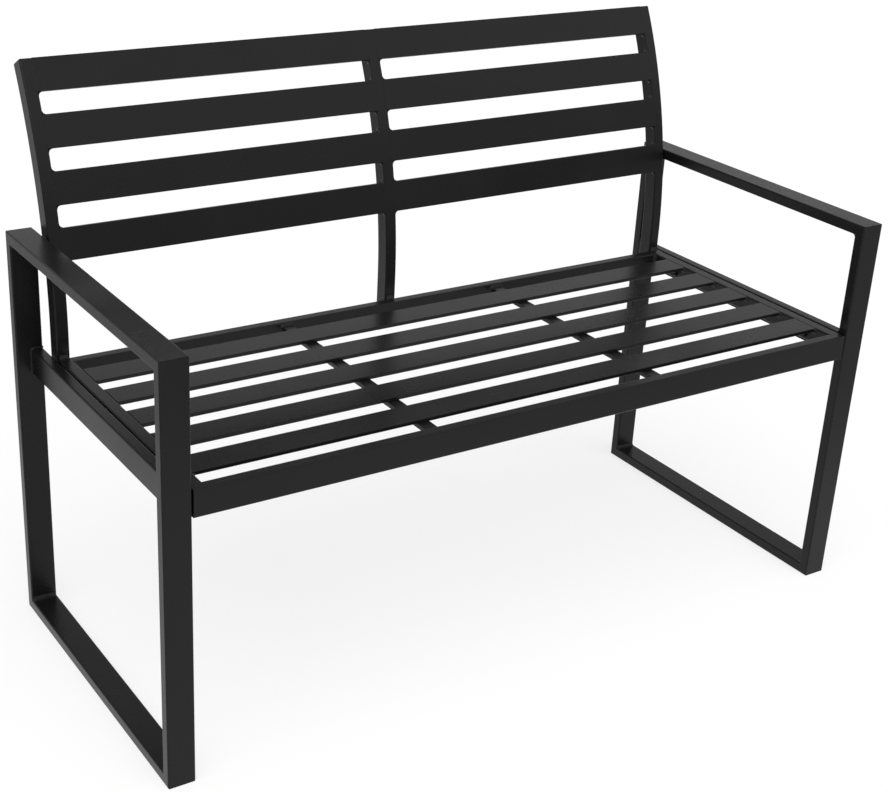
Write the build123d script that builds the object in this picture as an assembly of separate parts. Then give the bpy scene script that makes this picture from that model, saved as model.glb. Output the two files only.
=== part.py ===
from build123d import *
import math
import os

# Metal garden bench for two. Two mitred side frames stand on their floor rails. Between them hangs
# one weldment, a framed seat of five slats with a curved back behind it, bolted to the side rails
# and to the armrests. Millimetres, +Z up, the sitter looks along -Y. The origin lies on the floor
# in the middle of the bench's outline.

# Overall sizes
bench_length = 1270.0
frame_depth = 549.0
arm_height = 648.0
seat_height = 460.0
seat_depth = 476.0
back_height = 895.0
cut_overrun = 5.0

# Inside corner radius of every tube, whose outside radius is this and its wall, and edge of flat bars
tube_inner_corner = 1.0
bar_edge_radius = 1.0

# Side frame tube, laid with its wide side up, forward and back
frame_tube_width = 42.0
frame_tube_thickness = 18.0
frame_tube_wall = 1.5

# Side rail, on edge between the legs and flush with their inner sides
side_rail_width = 18.0
side_rail_height = 42.0
side_rail_wall = 1.5

# Seam between a side frame and the seat and back
side_seam = 2.5

# Front and rear seat rails, on edge, and the shallower end rails between them
seat_rail_width = 18.0
seat_rail_height = 42.0
seat_rail_wall = 1.5
end_rail_width = 20.0
end_rail_height = 27.0
end_rail_wall = 1.5

# Seat slats, flat bars flush with the top of the seat rails, evenly spaced behind the front gap
seat_slat_count = 5
seat_slat_width = 50.0
seat_slat_thickness = 6.0
seat_front_gap = 29.0

# Cross supports, flat bars welded under the seat slats
support_spacing = 414.0
support_width = 20.0
support_thickness = 8.0

# Back posts, straight behind the seat and then rolled back along an arc
post_width = 20.0
post_depth = 28.0
post_wall = 1.5
bend_start_rise = 32.0
bend_radius = 880.0
post_cap_thickness = 3.0
post_cap_edge_share = 0.8

# Back slats, flat bars flush with the front of the posts
back_slat_rows = 4
back_slat_height = 50.0
back_slat_thickness = 6.0
back_slat_gap = 33.2

# Frame bolts, their washers, spacer rings and nuts
bolt_diameter = 8.0
bolt_length = 35.0
bolt_head_diameter = 14.0
bolt_head_height = 4.4
bolt_socket_flats = 5.0
bolt_socket_depth = 2.6
bolt_head_round_share = 0.6
bolt_hole_clearance = 0.3
nut_thread_clearance = 0.1
washer_diameter = 16.0
washer_thickness = 1.6
ring_diameter = 16.0
nut_flats = 13.0
nut_thickness = 6.5

# Places worked out from the sizes above
outer_x = bench_length / 2
frame_inner_x = outer_x - frame_tube_width
seat_outer_x = frame_inner_x - side_seam
seat_inner_x = seat_outer_x - end_rail_width
post_inner_x = seat_outer_x - post_width
end_rail_z = seat_height - end_rail_height / 2

bend_start_z = seat_height + bend_start_rise
bend_angle = math.degrees(math.asin((back_height - bend_start_z) / bend_radius))
post_cap_angle = math.degrees(post_cap_thickness / bend_radius)
post_rear_reach = bend_radius - (bend_radius - post_depth) * math.cos(math.radians(bend_angle))
overall_depth = max(seat_depth + post_rear_reach, frame_depth)

front_y = -overall_depth / 2
frame_rear_y = front_y + frame_depth
seat_rear_y = front_y + seat_depth
bend_centre_y = seat_rear_y + bend_radius

seat_slat_run = seat_depth - 2 * seat_rail_width - seat_front_gap
seat_slat_pitch = seat_slat_run / seat_slat_count
seat_slat_gap = seat_slat_pitch - seat_slat_width


def tube_profile(across, up, wall):
    """Hollow rectangle with rounded corners, centred."""
    bore = RectangleRounded(across - 2 * wall, up - 2 * wall, tube_inner_corner)
    return RectangleRounded(across, up, tube_inner_corner + wall) - bore


def mitred_tube(start, along, outward, length, thickness, width, wall):
    """Tube of a mitred loop. It starts at the middle of its outer face's end and that face looks outward."""
    run = Vector(*along)
    inward = Vector(*outward) * -1
    place = Plane(origin=start, x_dir=inward.cross(run), z_dir=run)
    body = extrude(Pos(0, thickness / 2) * tube_profile(width, thickness, wall), length)
    low = -cut_overrun
    high = thickness + cut_overrun
    ends = Polygon((low, low), (high, high), (high, length - high), (low, length - low), align=None)
    trim = extrude(Plane.YZ * ends, width / 2 + cut_overrun, both=True)
    return place * (body & trim)


def tube_along_x(start_x, end_x, y, z, depth, height, wall):
    """Straight tube along X with square ends, centred on y and z."""
    place = Plane(origin=(start_x, y, z), x_dir=(0, 1, 0), z_dir=(1, 0, 0))
    return extrude(place * tube_profile(depth, height, wall), end_x - start_x)


def bar_along_x(start_x, end_x, y, z, depth, height):
    """Flat bar along X with square ends, centred on y and z."""
    place = Plane(origin=(start_x, y, z), x_dir=(0, 1, 0), z_dir=(1, 0, 0))
    return extrude(place * RectangleRounded(depth, height, bar_edge_radius), end_x - start_x)


def bar_along_y(x, start_y, end_y, z, width, height):
    """Flat bar along Y with square ends, centred on x and z."""
    place = Plane(origin=(x, start_y, z), x_dir=(1, 0, 0), z_dir=(0, 1, 0))
    return extrude(place * RectangleRounded(width, height, bar_edge_radius), end_y - start_y)


def tube_along_y(x, start_y, end_y, z, width, height, wall):
    """Straight tube along Y with square ends, centred on x and z."""
    place = Plane(origin=(x, start_y, z), x_dir=(1, 0, 0), z_dir=(0, 1, 0))
    return extrude(place * tube_profile(width, height, wall), end_y - start_y)


def outward_place(side, reach, y, z):
    """Plane that looks away from the bench's middle at a distance reach from it."""
    return Plane(origin=(side * reach, y, z), x_dir=(0, 1, 0), z_dir=(side, 0, 0))


def bolt_bore(side, start, end, y, z):
    """Cylinder to cut for a bolt, between two distances from the bench's middle."""
    hole = Circle(bolt_diameter / 2 + bolt_hole_clearance)
    return extrude(outward_place(side, start, y, z) * hole, end - start)


# Side frames

def side_frame(side):
    """The five tubes of one side frame, side being -1 at the left and 1 at the right."""
    x = side * (outer_x - frame_tube_width / 2)
    sizes = (frame_tube_thickness, frame_tube_width, frame_tube_wall)
    front_leg = mitred_tube((x, front_y, 0), (0, 0, 1), (0, -1, 0), arm_height, *sizes)
    rear_leg = mitred_tube((x, frame_rear_y, 0), (0, 0, 1), (0, 1, 0), arm_height, *sizes)
    floor_rail = mitred_tube((x, front_y, 0), (0, 1, 0), (0, 0, -1), frame_depth, *sizes)
    armrest = mitred_tube((x, front_y, arm_height), (0, 1, 0), (0, 0, 1), frame_depth, *sizes)
    side_rail = tube_along_y(
        side * (frame_inner_x + side_rail_width / 2),
        front_y + frame_tube_thickness,
        frame_rear_y - frame_tube_thickness,
        seat_height - side_rail_height / 2,
        side_rail_width,
        side_rail_height,
        side_rail_wall,
    )
    armrest -= frame_bore(side, frame_tube_wall, *back_bolt_place())
    for place in seat_bolt_places():
        side_rail -= frame_bore(side, side_rail_wall, *place)
    return {
        "front_leg": front_leg,
        "rear_leg": rear_leg,
        "armrest": armrest,
        "floor_rail": floor_rail,
        "side_rail": side_rail,
    }


def frame_bore(side, wall, y, z):
    """Bolt hole through the inner wall of a side frame tube."""
    return bolt_bore(side, frame_inner_x - cut_overrun, frame_inner_x + wall + cut_overrun, y, z)


# Seat

def seat_rail(middle_y):
    """Front or rear rail of the seat, from one end of the seat to the other."""
    z = seat_height - seat_rail_height / 2
    sizes = (seat_rail_width, seat_rail_height, seat_rail_wall)
    return tube_along_x(-seat_outer_x, seat_outer_x, middle_y, z, *sizes)


def end_rail(side):
    """Rail between the front and rear rails, drilled for the bolts into the side frame."""
    rail = tube_along_y(
        side * (seat_outer_x - end_rail_width / 2),
        front_y + seat_rail_width,
        seat_rear_y - seat_rail_width,
        end_rail_z,
        end_rail_width,
        end_rail_height,
        end_rail_wall,
    )
    for place in seat_bolt_places():
        rail -= bolt_bore(side, seat_inner_x - cut_overrun, seat_outer_x + cut_overrun, *place)
    return rail


def seat_slat(number):
    """One slat between the end rails, number 0 being the foremost."""
    front_edge = front_y + seat_rail_width + seat_front_gap + number * seat_slat_pitch
    y = front_edge + seat_slat_width / 2
    z = seat_height - seat_slat_thickness / 2
    return bar_along_x(-seat_inner_x, seat_inner_x, y, z, seat_slat_width, seat_slat_thickness)


def cross_support(side):
    """Bar under the slats, welded to them and to the front and rear rails."""
    x = side * support_spacing / 2
    z = seat_height - seat_slat_thickness - support_thickness / 2
    start_y = front_y + seat_rail_width
    end_y = seat_rear_y - seat_rail_width
    return bar_along_y(x, start_y, end_y, z, support_width, support_thickness)


# Back

def bend_axis():
    """Level axis of the bend, behind the posts. A positive turn about it leans back."""
    return Axis((0, bend_centre_y, bend_start_z), (-1, 0, 0))


def bent_up(profile, start_angle, end_angle):
    """A face that lies level at the start of the bend, revolved along the bend between two angles."""
    return revolve(profile.rotate(bend_axis(), start_angle), bend_axis(), end_angle - start_angle)


def post_place(x):
    return Pos(x, seat_rear_y + post_depth / 2, bend_start_z)


def back_post(x):
    """Tube that stands straight behind the rear seat rail and is rolled back above it."""
    profile = post_place(x) * tube_profile(post_width, post_depth, post_wall)
    straight = extrude(profile, bend_start_rise + seat_rail_height, dir=(0, 0, -1))
    return straight + bent_up(profile, 0, bend_angle - post_cap_angle)


def outer_post(side):
    """Post at the end of the seat, drilled for the bolt into the armrest."""
    post = back_post(side * (seat_outer_x - post_width / 2))
    bore = bolt_bore(side, post_inner_x - cut_overrun, seat_outer_x + cut_overrun, *back_bolt_place())
    return post - bore


def post_cap(x):
    """Plate that closes the top of a post, its upper edges eased."""
    outline = post_place(x) * RectangleRounded(post_width, post_depth, tube_inner_corner + post_wall)
    plate = bent_up(outline, bend_angle - post_cap_angle, bend_angle)
    lean = math.radians(bend_angle)
    top = plate.faces().sort_by(Axis((0, 0, 0), (0, math.sin(lean), math.cos(lean))))[-1]
    return fillet(top.edges(), post_cap_edge_share * post_cap_thickness)


def back_slat(start_x, end_x, row):
    """One slat between two posts, row 0 being the lowest."""
    rows_above = back_slat_rows - 1 - row
    arc_drop = back_slat_height / 2 + rows_above * (back_slat_height + back_slat_gap)
    y = seat_rear_y + back_slat_thickness / 2
    upright = bar_along_x(start_x, end_x, y, bend_start_z, back_slat_thickness, back_slat_height)
    return upright.rotate(bend_axis(), bend_angle - math.degrees(arc_drop / bend_radius))


# Fasteners

def seat_bolt_places():
    """Y and Z of the bolts through a seat end rail, midway below its foremost and rearmost slats."""
    first_y = front_y + seat_rail_width + seat_front_gap + seat_slat_width / 2
    last_y = first_y + (seat_slat_count - 1) * seat_slat_pitch
    z = seat_height - (seat_slat_thickness + end_rail_height) / 2
    return [(first_y, z), (last_y, z)]


def back_bolt_place():
    """Y and Z of the bolt through an outer post, level with the armrest and behind the slats."""
    z = arm_height - frame_tube_thickness / 2
    radius = bend_radius - (back_slat_thickness + post_depth) / 2
    y = bend_centre_y - math.sqrt(radius ** 2 - (z - bend_start_z) ** 2)
    return y, z


def pierced(outline, thickness, clearance):
    """Flat fastener piece with a hole for the bolt, lying on the plane z = 0."""
    return extrude(outline - Circle(bolt_diameter / 2 + clearance), thickness)


def frame_bolt():
    """Button head bolt with a hexagon socket. The underside of its head lies on z = 0."""
    head = extrude(Circle(bolt_head_diameter / 2), -bolt_head_height)
    crown = head.edges().group_by(Axis.Z)[0]
    head = fillet(crown, bolt_head_round_share * bolt_head_height)
    shank = extrude(Circle(bolt_diameter / 2), bolt_length)
    hexagon = RegularPolygon(bolt_socket_flats / 2, 6, major_radius=False)
    socket = Pos(0, 0, -bolt_head_height) * extrude(hexagon, bolt_socket_depth)
    return head + shank - socket


def fasteners():
    """Bolts, washers, spacer rings and weld nuts, one of each at every bolt of both side frames."""
    bolts, washers, rings, nuts = [], [], [], []
    washer = pierced(Circle(washer_diameter / 2), washer_thickness, bolt_hole_clearance)
    ring = pierced(Circle(ring_diameter / 2), side_seam, bolt_hole_clearance)
    hexagon = RegularPolygon(nut_flats / 2, 6, major_radius=False)
    nut = pierced(hexagon, nut_thickness, nut_thread_clearance)
    stations = [(seat_inner_x, side_rail_wall, place) for place in seat_bolt_places()]
    stations.append((post_inner_x, frame_tube_wall, back_bolt_place()))
    for side in (-1, 1):
        for inner, wall, place in stations:
            bolts.append(outward_place(side, inner - washer_thickness, *place) * frame_bolt())
            washers.append(outward_place(side, inner - washer_thickness, *place) * washer)
            rings.append(outward_place(side, seat_outer_x, *place) * ring)
            nuts.append(outward_place(side, frame_inner_x + wall, *place) * nut)
    return {"frame_bolts": bolts, "bolt_washers": washers, "spacer_rings": rings, "weld_nuts": nuts}


# Every piece under its name

pieces = {}
pieces["seat_front_rail"] = seat_rail(front_y + seat_rail_width / 2)
pieces["seat_rear_rail"] = seat_rail(seat_rear_y - seat_rail_width / 2)
for number in range(seat_slat_count):
    pieces[f"seat_slat_{number + 1}"] = seat_slat(number)

for side, side_name in ((-1, "left"), (1, "right")):
    for name, shape in side_frame(side).items():
        pieces[f"{side_name}_{name}"] = shape
    pieces[f"seat_{side_name}_end_rail"] = end_rail(side)
    pieces[f"seat_{side_name}_support"] = cross_support(side)
    pieces[f"back_{side_name}_post"] = outer_post(side)
    bay_ends = sorted((side * post_width / 2, side * post_inner_x))
    for row in range(back_slat_rows):
        pieces[f"back_{side_name}_slat_{row + 1}"] = back_slat(*bay_ends, row)

pieces["back_centre_post"] = back_post(0)
post_middles = (-(seat_outer_x - post_width / 2), 0, seat_outer_x - post_width / 2)
pieces["post_caps"] = Compound([post_cap(x).solid() for x in post_middles])
for name, copies in fasteners().items():
    pieces[name] = Compound([copy.solid() for copy in copies])

os.makedirs("parts", exist_ok=True)
for name, shape in pieces.items():
    export_step(shape, f"parts/{name}.step")

print(f"{len(pieces)} nodes, overall depth {overall_depth:.2f}, seat slat gap {seat_slat_gap:.2f}")
print(f"back leans {bend_angle:.2f} degrees at its top")
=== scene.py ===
import math

import bpy
import numpy as np
from mathutils import Matrix, Vector


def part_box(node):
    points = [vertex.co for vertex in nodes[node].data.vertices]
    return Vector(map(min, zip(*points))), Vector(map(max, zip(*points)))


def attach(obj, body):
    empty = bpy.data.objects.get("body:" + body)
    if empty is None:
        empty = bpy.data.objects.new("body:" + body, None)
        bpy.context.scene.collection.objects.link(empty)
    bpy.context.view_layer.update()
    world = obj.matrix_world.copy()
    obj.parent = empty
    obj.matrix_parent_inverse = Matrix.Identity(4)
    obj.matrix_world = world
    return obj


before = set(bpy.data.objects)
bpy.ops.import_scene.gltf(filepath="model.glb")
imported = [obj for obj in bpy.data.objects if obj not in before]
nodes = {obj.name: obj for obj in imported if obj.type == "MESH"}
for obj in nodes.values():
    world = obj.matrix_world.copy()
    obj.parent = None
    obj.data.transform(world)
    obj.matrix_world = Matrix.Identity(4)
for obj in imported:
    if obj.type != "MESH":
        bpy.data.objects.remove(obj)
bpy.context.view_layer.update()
mm = 0.001


# Side frames. Each is a loop of four steel tubes, 42 x 18 mm, mitred and welded at its corners and
# ground flush outside, with a fifth tube on edge between the legs to carry the seat. The corners
# keep their fillet welds on the inside, and the whole frame is powder coated after welding.
sides = ((-1, "left"), (1, "right"))
frame_tubes = ("front_leg", "rear_leg", "floor_rail", "armrest", "side_rail")
tube_corner = 2.5 * mm
side_rail_size = (18 * mm, 42 * mm)
loop_weld_leg = 6.0 * mm
loop_weld_inset = 0.8 * mm
side_rail_weld_leg = 3.0 * mm

weld_hollow = 2.2
weld_taper_share = 0.4
weld_sink = 0.08 * mm
weld_front_points = 9
weld_step, weld_least_points = 0.5 * mm, 8
weld_sharp_angle = math.radians(50)
ripple_length, ripple_share, ripple_bow = 1.7 * mm, 0.05, 0.9 * mm
wander_waves = ((0.06, 7 * mm, 0), (0.04, 3.1 * mm, 1))
corner_points = 13

coat_dark, coat_light = "#0f0f10", "#151516"
coat_ior = 1.28
tube_roughness, weld_roughness, roughness_drift = 0.25, 0.30, 0.06
noise_low, noise_high = 0.3, 0.7
patch_size = 140 * mm
peel_size, peel_depth = 2.6 * mm, 0.20 * mm
grain_size, grain_depth = 0.5 * mm, 0.02 * mm


def linear(hex_colour):
    """Linear colour of an sRGB hex value: each channel through the sRGB curve."""
    parts = [int(hex_colour[i:i + 2], 16) / 255 for i in (1, 3, 5)]
    return [c / 12.92 if c <= 0.04045 else ((c + 0.055) / 1.055) ** 2.4 for c in parts] + [1]


def add_node(tree, kind, inputs=None, **settings):
    """Adds a node. Inputs are values or the sockets that feed them, settings are its own choices. A
    Map Range takes its input 0 from the range 1 to 2 to the range 3 to 4, which is 0 to 1 if left out.
    A Mix goes from its colour 6 to its colour 7, and its colour comes out at 2."""
    made = tree.nodes.new(kind)
    for name, value in settings.items():
        setattr(made, name, value)
    for name, value in (inputs or {}).items():
        if isinstance(value, bpy.types.NodeSocket):
            tree.links.new(value, made.inputs[name])
        else:
            made.inputs[name].default_value = value
    return made


def new_material(name):
    """Empty node material with its tree and the socket that its surface goes to."""
    made = bpy.data.materials.new(name)
    made.use_nodes = True
    made.node_tree.nodes.clear()
    out = made.node_tree.nodes.new("ShaderNodeOutputMaterial")
    return made, made.node_tree, out.inputs["Surface"]


def coated_steel(name, least_roughness):
    """Black polyester powder coat, baked on steel: a satin film that mirrors its surroundings softly.
    It has the low waves of orange peel, and its gloss drifts a little over the length of a tube. Its
    fine texture scatters part of the mirror image, so its IOR is below that of clear polyester. The
    powder's own grain, a tenth of a millimetre, is drawn five times as coarse, so that it shows."""
    made, tree, surface = new_material(name)
    place = add_node(tree, "ShaderNodeTexCoord").outputs["Object"]
    patches = add_node(tree, "ShaderNodeTexNoise", {"Vector": place, "Scale": 1 / patch_size, "Detail": 3.0})
    peel = add_node(tree, "ShaderNodeTexNoise", {"Vector": place, "Scale": 1 / peel_size, "Detail": 1.0})
    grain = add_node(tree, "ShaderNodeTexNoise", {"Vector": place, "Scale": 1 / grain_size, "Detail": 2.0})
    tone = add_node(tree, "ShaderNodeMix",
                    {0: patches.outputs[0], 6: linear(coat_dark), 7: linear(coat_light)}, data_type="RGBA")
    sheen = add_node(tree, "ShaderNodeMapRange",
                     {0: patches.outputs[0], 1: noise_low, 2: noise_high,
                      3: least_roughness, 4: least_roughness + roughness_drift})
    waves = add_node(tree, "ShaderNodeBump",
                     {"Height": peel.outputs[0], "Distance": peel_depth, "Strength": 1.0})
    fine = add_node(tree, "ShaderNodeBump",
                    {"Height": grain.outputs[0], "Distance": grain_depth, "Strength": 1.0,
                     "Normal": waves.outputs[0]})
    coat = add_node(tree, "ShaderNodeBsdfPrincipled",
                    {"Base Color": tone.outputs[2], "Roughness": sheen.outputs[0], "IOR": coat_ior,
                     "Normal": fine.outputs[0]})
    tree.links.new(coat.outputs[0], surface)
    return made


powder_coat = coated_steel("black_powder_coat_on_steel", tube_roughness)
weld_coat = coated_steel("black_powder_coat_on_welds", weld_roughness)


def paint(node_names, material):
    """Gives every material slot of these CAD nodes one material."""
    for name in node_names:
        for slot in nodes[name].material_slots:
            slot.material = material


def closed_rings(first, rings, last, right_handed):
    """Skin of a row of closed rings, drawn together to one point at each end. Each ring's points join
    the next ring's same points in four-sided faces, and the end rings join their points in triangles.
    The faces look outward as they are made if the rings turn right-handed about their run, and otherwise
    they are turned over. Returns points, four-sided faces and triangles."""
    count, around = rings.shape[:2]
    points = np.vstack([first, rings.reshape(-1, 3), last])
    ring, spot = np.meshgrid(np.arange(count - 1), np.arange(around), indexing="ij")
    here, there = 1 + ring * around + spot, 1 + ring * around + (spot + 1) % around
    quads = np.stack([here, there, there + around, here + around], -1).reshape(-1, 4)
    near, far = 1 + np.arange(around), 1 + (count - 1) * around + np.arange(around)
    start = np.stack([np.zeros(around, int), np.roll(near, -1), near], -1)
    end = np.stack([np.full(around, len(points) - 1), far, np.roll(far, -1)], -1)
    triangles = np.vstack([start, end])
    if not right_handed:
        quads, triangles = quads[:, ::-1], triangles[:, ::-1]
    return points, quads, triangles


def bead(path, side_a, side_b, leg):
    """Fillet weld along a path in the corner between two faces. Its section is a closed ring: from the
    root of the corner out along face a by the leg, over the front to the same distance on face b, and
    back, all sunk a little into both. At angle t the front's reach from the root is the leg divided by
    the sum of cosine t and sine t raised to the hollow, which is flat at a hollow of 1 and dished above
    it. The leg swells out of nothing at both ends as a quarter circle does, wanders in two slow waves,
    and ripples as crescents that bow along the path."""
    path = np.asarray(path, float)
    side_a = np.broadcast_to(np.asarray(side_a, float), path.shape)
    side_b = np.broadcast_to(np.asarray(side_b, float), path.shape)
    run = np.concatenate([[0], np.cumsum(np.linalg.norm(np.diff(path, axis=0), axis=1))])
    edge = np.clip(np.minimum(run, run[-1] - run) / (weld_taper_share * leg), 0, 1)
    swell = np.sqrt(1 - (1 - edge) ** 2)[:, None]
    turn = np.linspace(0, math.pi / 2, weld_front_points)[None, :]
    bow = ripple_bow * (turn / (math.pi / 4) - 1) ** 2
    ripple = 1 + ripple_share * np.sin(2 * math.pi * (run[:, None] - bow) / ripple_length)
    wander = 1 + sum(share * np.sin(run[:, None] / length + start) for share, length, start in wander_waves)
    reach = leg * swell * ripple * wander / (np.cos(turn) + np.sin(turn)) ** weld_hollow
    along_a = np.hstack([np.zeros((len(path), 1)), reach * np.cos(turn)]) - weld_sink
    along_b = np.hstack([np.zeros((len(path), 1)), reach * np.sin(turn)]) - weld_sink
    rings = path[:, None] + along_a[..., None] * side_a[:, None] + along_b[..., None] * side_b[:, None]
    right_handed = np.dot(np.cross(side_a[0], side_b[0]), path[1] - path[0]) > 0
    return closed_rings(path[:1], rings[1:-1], path[-1:], right_handed)


def straight_bead(start, end, side_a, side_b, leg):
    """Bead along a straight corner, a point every weld step."""
    steps = max(weld_least_points, int(math.dist(start, end) / weld_step))
    share = np.linspace(0, 1, steps)[:, None]
    return bead(np.asarray(start) * (1 - share) + np.asarray(end) * share, side_a, side_b, leg)


def butt_bead(middle, width_axis, depth_axis, run_axis, size, corner, skip, stop, leg):
    """Bead round the end of a bar that meets a flat face. The bar's outline is a rectangle with rounded
    corners, walked from the middle of the side that depth_axis points to, at first along width_axis.
    The bead begins after the length skip and ends after the length stop. Where it lies on a corner, its
    side that looks away from the bar turns as the corner's arc does."""
    angle = math.pi / 2 * (1 - np.arange(4)[:, None] - np.linspace(0, 1, corner_points))
    looks = np.stack([np.cos(angle), np.sin(angle)], -1)
    centres = np.array([[1, 1], [1, -1], [-1, -1], [-1, 1]])[:, None] * (np.array(size) / 2 - corner)
    outline = np.vstack([[0, size[1] / 2], (centres + corner * looks).reshape(-1, 2), [0, size[1] / 2]])
    looks = np.vstack([[0, 1], looks.reshape(-1, 2), [0, 1]])
    run = np.concatenate([[0], np.cumsum(np.linalg.norm(np.diff(outline, axis=0), axis=1))])
    at = np.linspace(skip, stop, max(weld_least_points, int((stop - skip) / weld_step)))
    flat = np.stack([np.interp(at, run, outline[:, k]) for k in (0, 1)], -1)
    look = np.stack([np.interp(at, run, looks[:, k]) for k in (0, 1)], -1)
    look /= np.linalg.norm(look, axis=1, keepdims=True)
    axes = np.array([width_axis, depth_axis], float)
    return bead(np.asarray(middle) + flat @ axes, look @ axes, run_axis, leg)


def after_corner(size, corner):
    """Length of an outline from the middle of its first side to the end of its first corner."""
    return size[0] / 2 - corner + math.pi / 2 * corner


def whole_outline(size, corner):
    """Length once round a rectangle with rounded corners."""
    return 2 * sum(size) - 8 * corner + 2 * math.pi * corner


def weld_piece(name, beads):
    """One mesh of all these beads, smooth but for its edges, coated like the frame."""
    points, faces, before = [], [], 0
    for bead_points, quads, triangles in beads:
        points.append(bead_points)
        faces += (quads + before).tolist() + (triangles + before).tolist()
        before += len(bead_points)
    mesh = bpy.data.meshes.new(name)
    mesh.from_pydata(np.vstack(points).tolist(), [], faces)
    mesh.shade_smooth()
    mesh.set_sharp_from_angle(angle=weld_sharp_angle)
    mesh.materials.append(weld_coat)
    piece = bpy.data.objects.new(name, mesh)
    bpy.context.scene.collection.objects.link(piece)
    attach(piece, "root")


for side, side_name in sides:
    paint([f"{side_name}_{tube}" for tube in frame_tubes], powder_coat)
    rail_low, rail_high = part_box(f"{side_name}_side_rail")
    leg_low, leg_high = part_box(f"{side_name}_front_leg")
    floor_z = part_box(f"{side_name}_floor_rail")[1].z
    arm_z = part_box(f"{side_name}_armrest")[0].z
    beads = []
    for y, inward in ((rail_low.y, 1), (rail_high.y, -1)):
        for z, up in ((floor_z, 1), (arm_z, -1)):
            ends = [(x, y, z) for x in (leg_low.x + loop_weld_inset, leg_high.x - loop_weld_inset)]
            beads.append(straight_bead(*ends, (0, inward, 0), (0, 0, up), loop_weld_leg))
    outline = (side_rail_size[1], side_rail_size[0])
    skip = after_corner(outline, tube_corner) - tube_corner
    stop = whole_outline(outline, tube_corner) - skip
    for y, inward in ((rail_low.y, 1), (rail_high.y, -1)):
        middle = ((rail_low.x + rail_high.x) / 2, y, (rail_low.z + rail_high.z) / 2)
        beads.append(butt_bead(middle, (0, 0, 1), (-side, 0, 0), (0, inward, 0), outline,
                               tube_corner, skip, stop, side_rail_weld_leg))
    weld_piece(f"{side_name}_frame_welds", beads)


# Seat. Front and rear tubes run from end to end, and two shallower end tubes butt between them. Five
# flat bars lie between the end tubes, flush with their tops, over two flat cross bars. The slats are
# welded from below and at their edges, the cross bars to the slats and to both long tubes.
end_rail_size = (20 * mm, 27 * mm)
end_rail_weld_leg = 5.5 * mm
seat_slat_size = (50 * mm, 6 * mm)
support_size = (20 * mm, 8 * mm)
flat_bar_corner = 1 * mm
slat_weld_leg = 5.0 * mm
support_weld_leg = 4.6 * mm
stitch_length = 26 * mm
stitch_leg = 2.8 * mm
ground_crown, ground_depth = 0.1 * mm, 1.6 * mm
ground_lap = 0.8 * mm
ground_step = 1 * mm
ground_front_points = 9


def ground_seam(start, end, across, outward):
    """Weld ground flush with two faces, in the groove that a tube's rounded corner leaves beside the bar
    that butts against it. Across points from tube to bar. The section is a lens: with s from -1 on the
    tube to 1 on the bar, its front stands up by the crown times 1 - s squared, and its back sinks by
    the depth times the same."""
    start, end, across, outward = (np.asarray(given, float) for given in (start, end, across, outward))
    steps = max(weld_least_points, int(math.dist(start, end) / ground_step))
    run = np.linspace(0, 1, steps)[:, None]
    path = start * (1 - run) + end * run
    s = np.linspace(-1, 1, ground_front_points)
    hump = 1 - s ** 2
    sideways = (np.concatenate([s, s[-2:0:-1]]) * (tube_corner + 2 * ground_lap) - tube_corner) / 2
    height = np.concatenate([ground_crown * hump, -ground_depth * hump[-2:0:-1]])
    rings = path[:, None] + sideways[:, None] * across + height[:, None] * outward
    right_handed = np.dot(np.cross(outward, across), end - start) > 0
    middles = rings.mean(axis=1)
    return closed_rings(middles[:1], rings, middles[-1:], right_handed)


seat_names = [name for name in nodes if name.startswith("seat_")]
slat_names = sorted(name for name in seat_names if name.startswith("seat_slat"))
paint(seat_names, powder_coat)
front_face_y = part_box("seat_front_rail")[1].y
rear_face_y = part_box("seat_rear_rail")[0].y

beads = []
for side, side_name in sides:
    low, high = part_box(f"seat_{side_name}_end_rail")
    outline = (end_rail_size[1], end_rail_size[0])
    skip = after_corner(outline, tube_corner)
    stop = skip + sum(end_rail_size) + (math.pi / 2 - 4) * tube_corner
    for y, inward in ((front_face_y, 1), (rear_face_y, -1)):
        middle = ((low.x + high.x) / 2, y, (low.z + high.z) / 2)
        beads.append(butt_bead(middle, (0, 0, -1), (side, 0, 0), (0, inward, 0), outline,
                               tube_corner, skip, stop, end_rail_weld_leg))
        ends = [(x, y, high.z) for x in (low.x + tube_corner, high.x - tube_corner)]
        beads.append(ground_seam(*ends, (0, inward, 0), (0, 0, 1)))
    skip = after_corner(seat_slat_size, flat_bar_corner)
    stop = whole_outline(seat_slat_size, flat_bar_corner) - skip
    inner_x = low.x if side > 0 else high.x
    for name in slat_names:
        slat_low, slat_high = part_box(name)
        middle = (inner_x, (slat_low.y + slat_high.y) / 2, (slat_low.z + slat_high.z) / 2)
        beads.append(butt_bead(middle, (0, 1, 0), (0, 0, 1), (-side, 0, 0), seat_slat_size,
                               flat_bar_corner, skip, stop, slat_weld_leg))
weld_piece("seat_frame_welds", beads)

beads = []
skip = after_corner(support_size, flat_bar_corner)
stop = whole_outline(support_size, flat_bar_corner) - skip
for side, side_name in sides:
    low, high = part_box(f"seat_{side_name}_support")
    for y, inward in ((front_face_y, 1), (rear_face_y, -1)):
        middle = ((low.x + high.x) / 2, y, (low.z + high.z) / 2)
        beads.append(butt_bead(middle, (1, 0, 0), (0, 0, -1), (0, inward, 0), support_size,
                               flat_bar_corner, skip, stop, support_weld_leg))
    for name in slat_names:
        slat_low, slat_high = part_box(name)
        middle_y = (slat_low.y + slat_high.y) / 2
        for x, outward in ((low.x, -1), (high.x, 1)):
            ends = [(x, middle_y + along * stitch_length / 2, slat_low.z) for along in (-1, 1)]
            beads.append(straight_bead(*ends, (outward, 0, 0), (0, 0, -1), stitch_leg))
weld_piece("seat_support_welds", beads)


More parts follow.
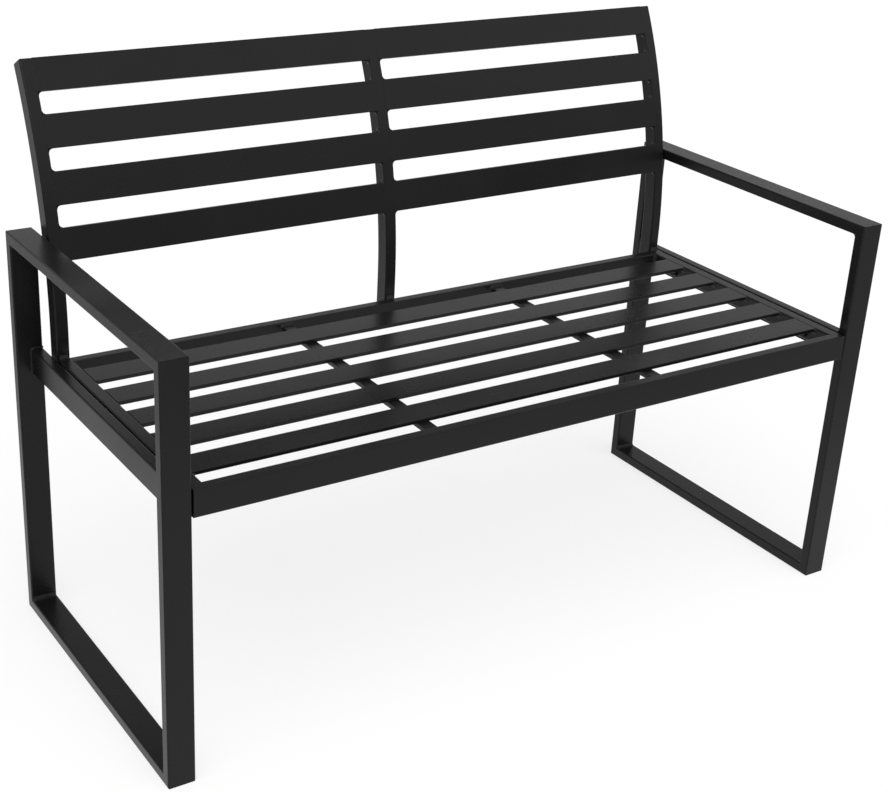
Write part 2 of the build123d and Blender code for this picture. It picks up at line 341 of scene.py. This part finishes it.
# Back. Three rectangular tubes stand on the rear seat tube's back face and are rolled to an arc above
# it, each closed by a small welded plate. Four flat bars in each bay butt against the tubes' sides,
# flush with their fronts, and are welded along their backs and edges and ground flush in front.
back_height = 895 * mm
back_slat_size = (50 * mm, 6 * mm)
back_slat_gap = 33.2 * mm
back_slat_rows = 4
bend_radius = 880 * mm
bend_start_rise = 32 * mm
back_weld_leg = 6.0 * mm
post_weld_leg = 6.0 * mm
post_weld_drop = 8.0 * mm

paint([name for name in nodes if name.startswith("back_")] + ["post_caps"], powder_coat)
rear_rail_low, rear_rail_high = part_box("seat_rear_rail")
post_front_y = rear_rail_high.y
bend_middle = np.array([0, post_front_y + bend_radius, rear_rail_high.z + bend_start_rise])
bend_angle = math.asin((back_height - bend_middle[2]) / bend_radius)
post_sides = {name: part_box(f"back_{name}_post") for name in ("left", "centre", "right")}

beads = []
skip = after_corner(back_slat_size, flat_bar_corner)
stop = whole_outline(back_slat_size, flat_bar_corner) - skip
top_row_skip = skip + back_slat_size[1] + (math.pi / 2 - 2) * flat_bar_corner
for left_post, right_post in (("left", "centre"), ("centre", "right")):
    for rows_above in reversed(range(back_slat_rows)):
        drop = back_slat_size[0] / 2 + rows_above * (back_slat_size[0] + back_slat_gap)
        lean = bend_angle - drop / bend_radius
        forward = np.array([0, -math.cos(lean), math.sin(lean)])
        upward = np.array([0, math.sin(lean), math.cos(lean)])
        middle = bend_middle + forward * (bend_radius - back_slat_size[1] / 2)
        front = bend_middle + forward * bend_radius
        edge = upward * (back_slat_size[0] / 2 - flat_bar_corner)
        for x, run_x in ((post_sides[left_post][1].x, 1), (post_sides[right_post][0].x, -1)):
            middle[0] = front[0] = x
            beads.append(butt_bead(middle, upward, forward, (run_x, 0, 0), back_slat_size, flat_bar_corner,
                                   skip if rows_above else top_row_skip, stop, back_weld_leg))
            beads.append(ground_seam(front - edge, front + edge, (run_x, 0, 0), forward))
weld_piece("back_slat_welds", beads)

beads = []
for low, high in post_sides.values():
    for x, outward in ((low.x, -1), (high.x, 1)):
        if abs(x) < rear_rail_high.x - tube_corner:
            ends = [(x, post_front_y, z)
                    for z in (rear_rail_low.z + tube_corner, rear_rail_high.z - post_weld_drop)]
            beads.append(straight_bead(*ends, (outward, 0, 0), (0, 1, 0), post_weld_leg))
    ends = [(x, post_front_y, rear_rail_high.z) for x in (low.x + tube_corner, high.x - tube_corner)]
    beads.append(straight_bead(*ends, (0, -1, 0), (0, 0, 1), post_weld_leg))
weld_piece("back_post_welds", beads)


# Fasteners. Six button head bolts, black oxide on steel, with black washers, hold the seat and back to
# the side frames. A nylon ring keeps the seam at each, and a zinc-plated nut is welded in the tube.
mottle_roughness = 0.12
mottle_depth = 0.01 * mm


def small_part_finish(name, dark, light, least_roughness, metallic, mottle_size):
    """A plated or blackened steel, or with metallic 0 a moulded plastic. Tone, roughness and a trace of
    relief are mottled together, at the size of the plating's crystals or the mould's texture."""
    made, tree, surface = new_material(name)
    place = add_node(tree, "ShaderNodeTexCoord").outputs["Object"]
    mottle = add_node(tree, "ShaderNodeTexNoise", {"Vector": place, "Scale": 1 / mottle_size, "Detail": 4.0})
    tone = add_node(tree, "ShaderNodeMix", {0: mottle.outputs[0], 6: linear(dark), 7: linear(light)},
                    data_type="RGBA")
    rub = add_node(tree, "ShaderNodeMapRange",
                   {0: mottle.outputs[0], 1: noise_low, 2: noise_high,
                    3: least_roughness, 4: least_roughness + mottle_roughness})
    relief = add_node(tree, "ShaderNodeBump",
                      {"Height": mottle.outputs[0], "Distance": mottle_depth, "Strength": 1.0})
    body = add_node(tree, "ShaderNodeBsdfPrincipled",
                    {"Base Color": tone.outputs[2], "Roughness": rub.outputs[0], "Metallic": metallic,
                     "Normal": relief.outputs[0]})
    tree.links.new(body.outputs[0], surface)
    return made


# Black oxide is a thin dark film with the shine of oiled steel. Bright zinc is a pale, clouded metal.
# Nylon from a spark-eroded mould is flat and black.
paint(["frame_bolts", "bolt_washers"],
      small_part_finish("black_oxide_steel", "#1c1c1e", "#2b2b2c", 0.36, 1.0, 1.2 * mm))
paint(["weld_nuts"], small_part_finish("zinc_plated_steel", "#9c9c98", "#b9b8b2", 0.34, 1.0, 1.6 * mm))
paint(["spacer_rings"], small_part_finish("moulded_black_nylon", "#171717", "#1f1f1f", 0.52, 0.0, 0.8 * mm))


# Studio. White paper lies under the bench and widens away behind it, on a light grey floor, with a soft
# edge, and far off the floor runs up into the surround. A wide soft lamp hangs high in front and to the
# left. The surround behind the bench is bright at the horizon and in a band above it.
floor_half = 40
paper_start = (-1.37, -1.97, 0)
paper_turn = math.radians(-35)
paper_nose, paper_flare = 0.4, 0.25
paper_edge = (0.34, 1.0)
paper_white, paper_seen, floor_grey = "#ededed", "#ffffff", "#cccccc"
floor_glow = 0.72
sweep_reach = (5.0, 13.0)
lamp_strength, lamp_spread = 2.2, math.radians(60)
lamp_tilt = (math.radians(22), math.radians(-14), 0)
surround_strength = 1.22
horizon_front, horizon_behind = 0.45, 0.95
horizon_turn = (-0.4, 0.2)
surround_behind = ((0.0, horizon_behind), (0.12, horizon_behind), (0.21, 0.28), (0.28, 0.26),
                   (0.355, 0.80), (0.45, 0.36), (1.0, 0.35))
surround_in_front = ((0.0, horizon_front), (0.12, 0.5), (0.32, 1.0), (0.5, 1.0), (1.0, 0.35))

mesh = bpy.data.meshes.new("studio_floor")
mesh.from_pydata([(x * floor_half, y * floor_half, 0) for x, y in ((-1, -1), (1, -1), (1, 1), (-1, 1))],
                 [], [(0, 1, 2, 3)])
floor = bpy.data.objects.new("studio_floor", mesh)
bpy.context.scene.collection.objects.link(floor)

# Matt paper and matt floor paint. Some 70% of what the eye sees of them is their own even tone, so that
# the bench's shadow stays soft and pale. The paper's edge is a hyperbola: with x across and y along, it
# lies where the root of x squared plus its nose squared, less its flare times y, is the same.
floor_finish, tree, surface = new_material("matt_paper_on_painted_floor")
place = add_node(tree, "ShaderNodeTexCoord").outputs["Object"]
rolled = add_node(tree, "ShaderNodeMapping",
                  {"Vector": place, "Location": paper_start, "Rotation": (0, 0, paper_turn)},
                  vector_type="TEXTURE")
x, y = add_node(tree, "ShaderNodeSeparateXYZ", {0: rolled.outputs[0]}).outputs[:2]
squares = add_node(tree, "ShaderNodeMath", {0: x, 1: x, 2: paper_nose ** 2}, operation="MULTIPLY_ADD")
root = add_node(tree, "ShaderNodeMath", {0: squares.outputs[0]}, operation="SQRT")
aside = add_node(tree, "ShaderNodeMath", {0: y, 1: -paper_flare, 2: root.outputs[0]},
                 operation="MULTIPLY_ADD")
beyond = add_node(tree, "ShaderNodeMapRange", {0: aside.outputs[0], 1: paper_edge[0], 2: paper_edge[1]},
                  interpolation_type="SMOOTHSTEP")
tone = add_node(tree, "ShaderNodeMix",
                {0: beyond.outputs[0], 6: linear(paper_white), 7: linear(floor_grey)}, data_type="RGBA")
near_tone = add_node(tree, "ShaderNodeMix",
                     {0: beyond.outputs[0], 6: linear(paper_seen), 7: linear(floor_grey)}, data_type="RGBA")

# The sweep. With its distance from the bench the floor takes on the tone that the surround has at the
# horizon in that direction.
distance = add_node(tree, "ShaderNodeVectorMath", {0: place}, operation="LENGTH")
far = add_node(tree, "ShaderNodeMapRange",
               {0: distance.outputs["Value"], 1: sweep_reach[0], 2: sweep_reach[1]},
               interpolation_type="SMOOTHSTEP")
heading = add_node(tree, "ShaderNodeVectorMath", {0: place}, operation="NORMALIZE")
heading_axes = add_node(tree, "ShaderNodeSeparateXYZ", {0: heading.outputs[0]})
rearward = add_node(tree, "ShaderNodeMapRange",
                    {0: heading_axes.outputs[1], 1: horizon_turn[0], 2: horizon_turn[1]},
                    interpolation_type="SMOOTHSTEP")
front_tone, rear_tone = ([min(1, grey * surround_strength)] * 3 + [1]
                         for grey in (horizon_front, horizon_behind))
far_tone = add_node(tree, "ShaderNodeMix", {0: rearward.outputs[0], 6: front_tone, 7: rear_tone},
                    data_type="RGBA")
seen_tone = add_node(tree, "ShaderNodeMix",
                     {0: far.outputs[0], 6: near_tone.outputs[2], 7: far_tone.outputs[2]}, data_type="RGBA")

rays = add_node(tree, "ShaderNodeLightPath").outputs
eye_rays = add_node(tree, "ShaderNodeMath", {0: rays["Is Camera Ray"], 1: rays["Is Glossy Ray"]},
                    operation="ADD")
eye_rays = add_node(tree, "ShaderNodeMath", {0: eye_rays.outputs[0], 1: rays["Is Transmission Ray"]},
                    operation="ADD")
own_share = add_node(tree, "ShaderNodeMapRange", {0: far.outputs[0], 3: floor_glow})
share = add_node(tree, "ShaderNodeMath", {0: eye_rays.outputs[0], 1: own_share.outputs[0]},
                 operation="MULTIPLY")
matt = add_node(tree, "ShaderNodeBsdfDiffuse", {"Color": tone.outputs[2]})
even = add_node(tree, "ShaderNodeEmission", {"Color": seen_tone.outputs[2], "Strength": 1.0})
both = add_node(tree, "ShaderNodeMixShader", {0: share.outputs[0], 1: matt.outputs[0], 2: even.outputs[0]})
tree.links.new(both.outputs[0], surface)
mesh.materials.append(floor_finish)

light = bpy.data.lights.new("soft_lamp", "SUN")
light.energy = lamp_strength
light.angle = lamp_spread
lamp = bpy.data.objects.new("soft_lamp", light)
lamp.rotation_euler = lamp_tilt
bpy.context.scene.collection.objects.link(lamp)

world = bpy.data.worlds.new("studio_surround")
bpy.context.scene.world = world
world.use_nodes = True
tree = world.node_tree
tree.nodes.clear()
out = tree.nodes.new("ShaderNodeOutputWorld")
direction = add_node(tree, "ShaderNodeTexCoord").outputs["Generated"]
direction_axes = add_node(tree, "ShaderNodeSeparateXYZ", {0: direction}).outputs
turn = add_node(tree, "ShaderNodeMapRange", {0: direction_axes[1], 1: horizon_turn[0], 2: horizon_turn[1]},
                interpolation_type="SMOOTHSTEP")
blend = add_node(tree, "ShaderNodeMix", {0: turn.outputs[0]}, data_type="RGBA")

# The surround's brightness goes by the sine of the height above the horizon.
for colour_input, stops in ((6, surround_in_front), (7, surround_behind)):
    ramp = add_node(tree, "ShaderNodeValToRGB", {0: direction_axes[2]})
    elements = ramp.color_ramp.elements
    while len(elements) < len(stops):
        elements.new(0.5)
    for element, (height, grey) in zip(elements, stops):
        element.position = height
        element.color = (grey, grey, grey, 1)
    tree.links.new(ramp.outputs[0], blend.inputs[colour_input])
glow = add_node(tree, "ShaderNodeBackground", {"Color": blend.outputs[2], "Strength": surround_strength})
tree.links.new(glow.outputs[0], out.inputs[0])


# Camera. It stands where the photograph was taken from, worked out from the bench's own edges, and its
# small shift puts the middle of the lens where the photograph has it.
camera_place = Vector((-1.3679, -1.9674, 1.4308))
yaw, pitch, roll = -0.58090, -0.43170, 0.04732
picture_width, picture_height = 888, 792
focal_pixels = 1602.92
lens_middle = (404.421, 406.925)
film_width = 36

ahead = Vector((-math.sin(yaw) * math.cos(pitch), math.cos(yaw) * math.cos(pitch), math.sin(pitch)))
level = Vector((math.cos(yaw), math.sin(yaw), 0))
upright = level.cross(ahead)
right = math.cos(roll) * level + math.sin(roll) * upright
up = math.cos(roll) * upright - math.sin(roll) * level
camera = bpy.data.objects.new("camera", bpy.data.cameras.new("camera"))
bpy.context.scene.collection.objects.link(camera)
turned = Matrix((right, up, -ahead)).transposed().to_4x4()
camera.matrix_world = Matrix.Translation(camera_place) @ turned
camera.data.sensor_width = film_width
camera.data.lens = film_width * focal_pixels / picture_width
camera.data.shift_x = (picture_width / 2 - lens_middle[0]) / picture_width
camera.data.shift_y = (lens_middle[1] - picture_height / 2) / picture_width
bpy.context.scene.camera = camera
bpy.context.scene.view_settings.view_transform = "Standard"
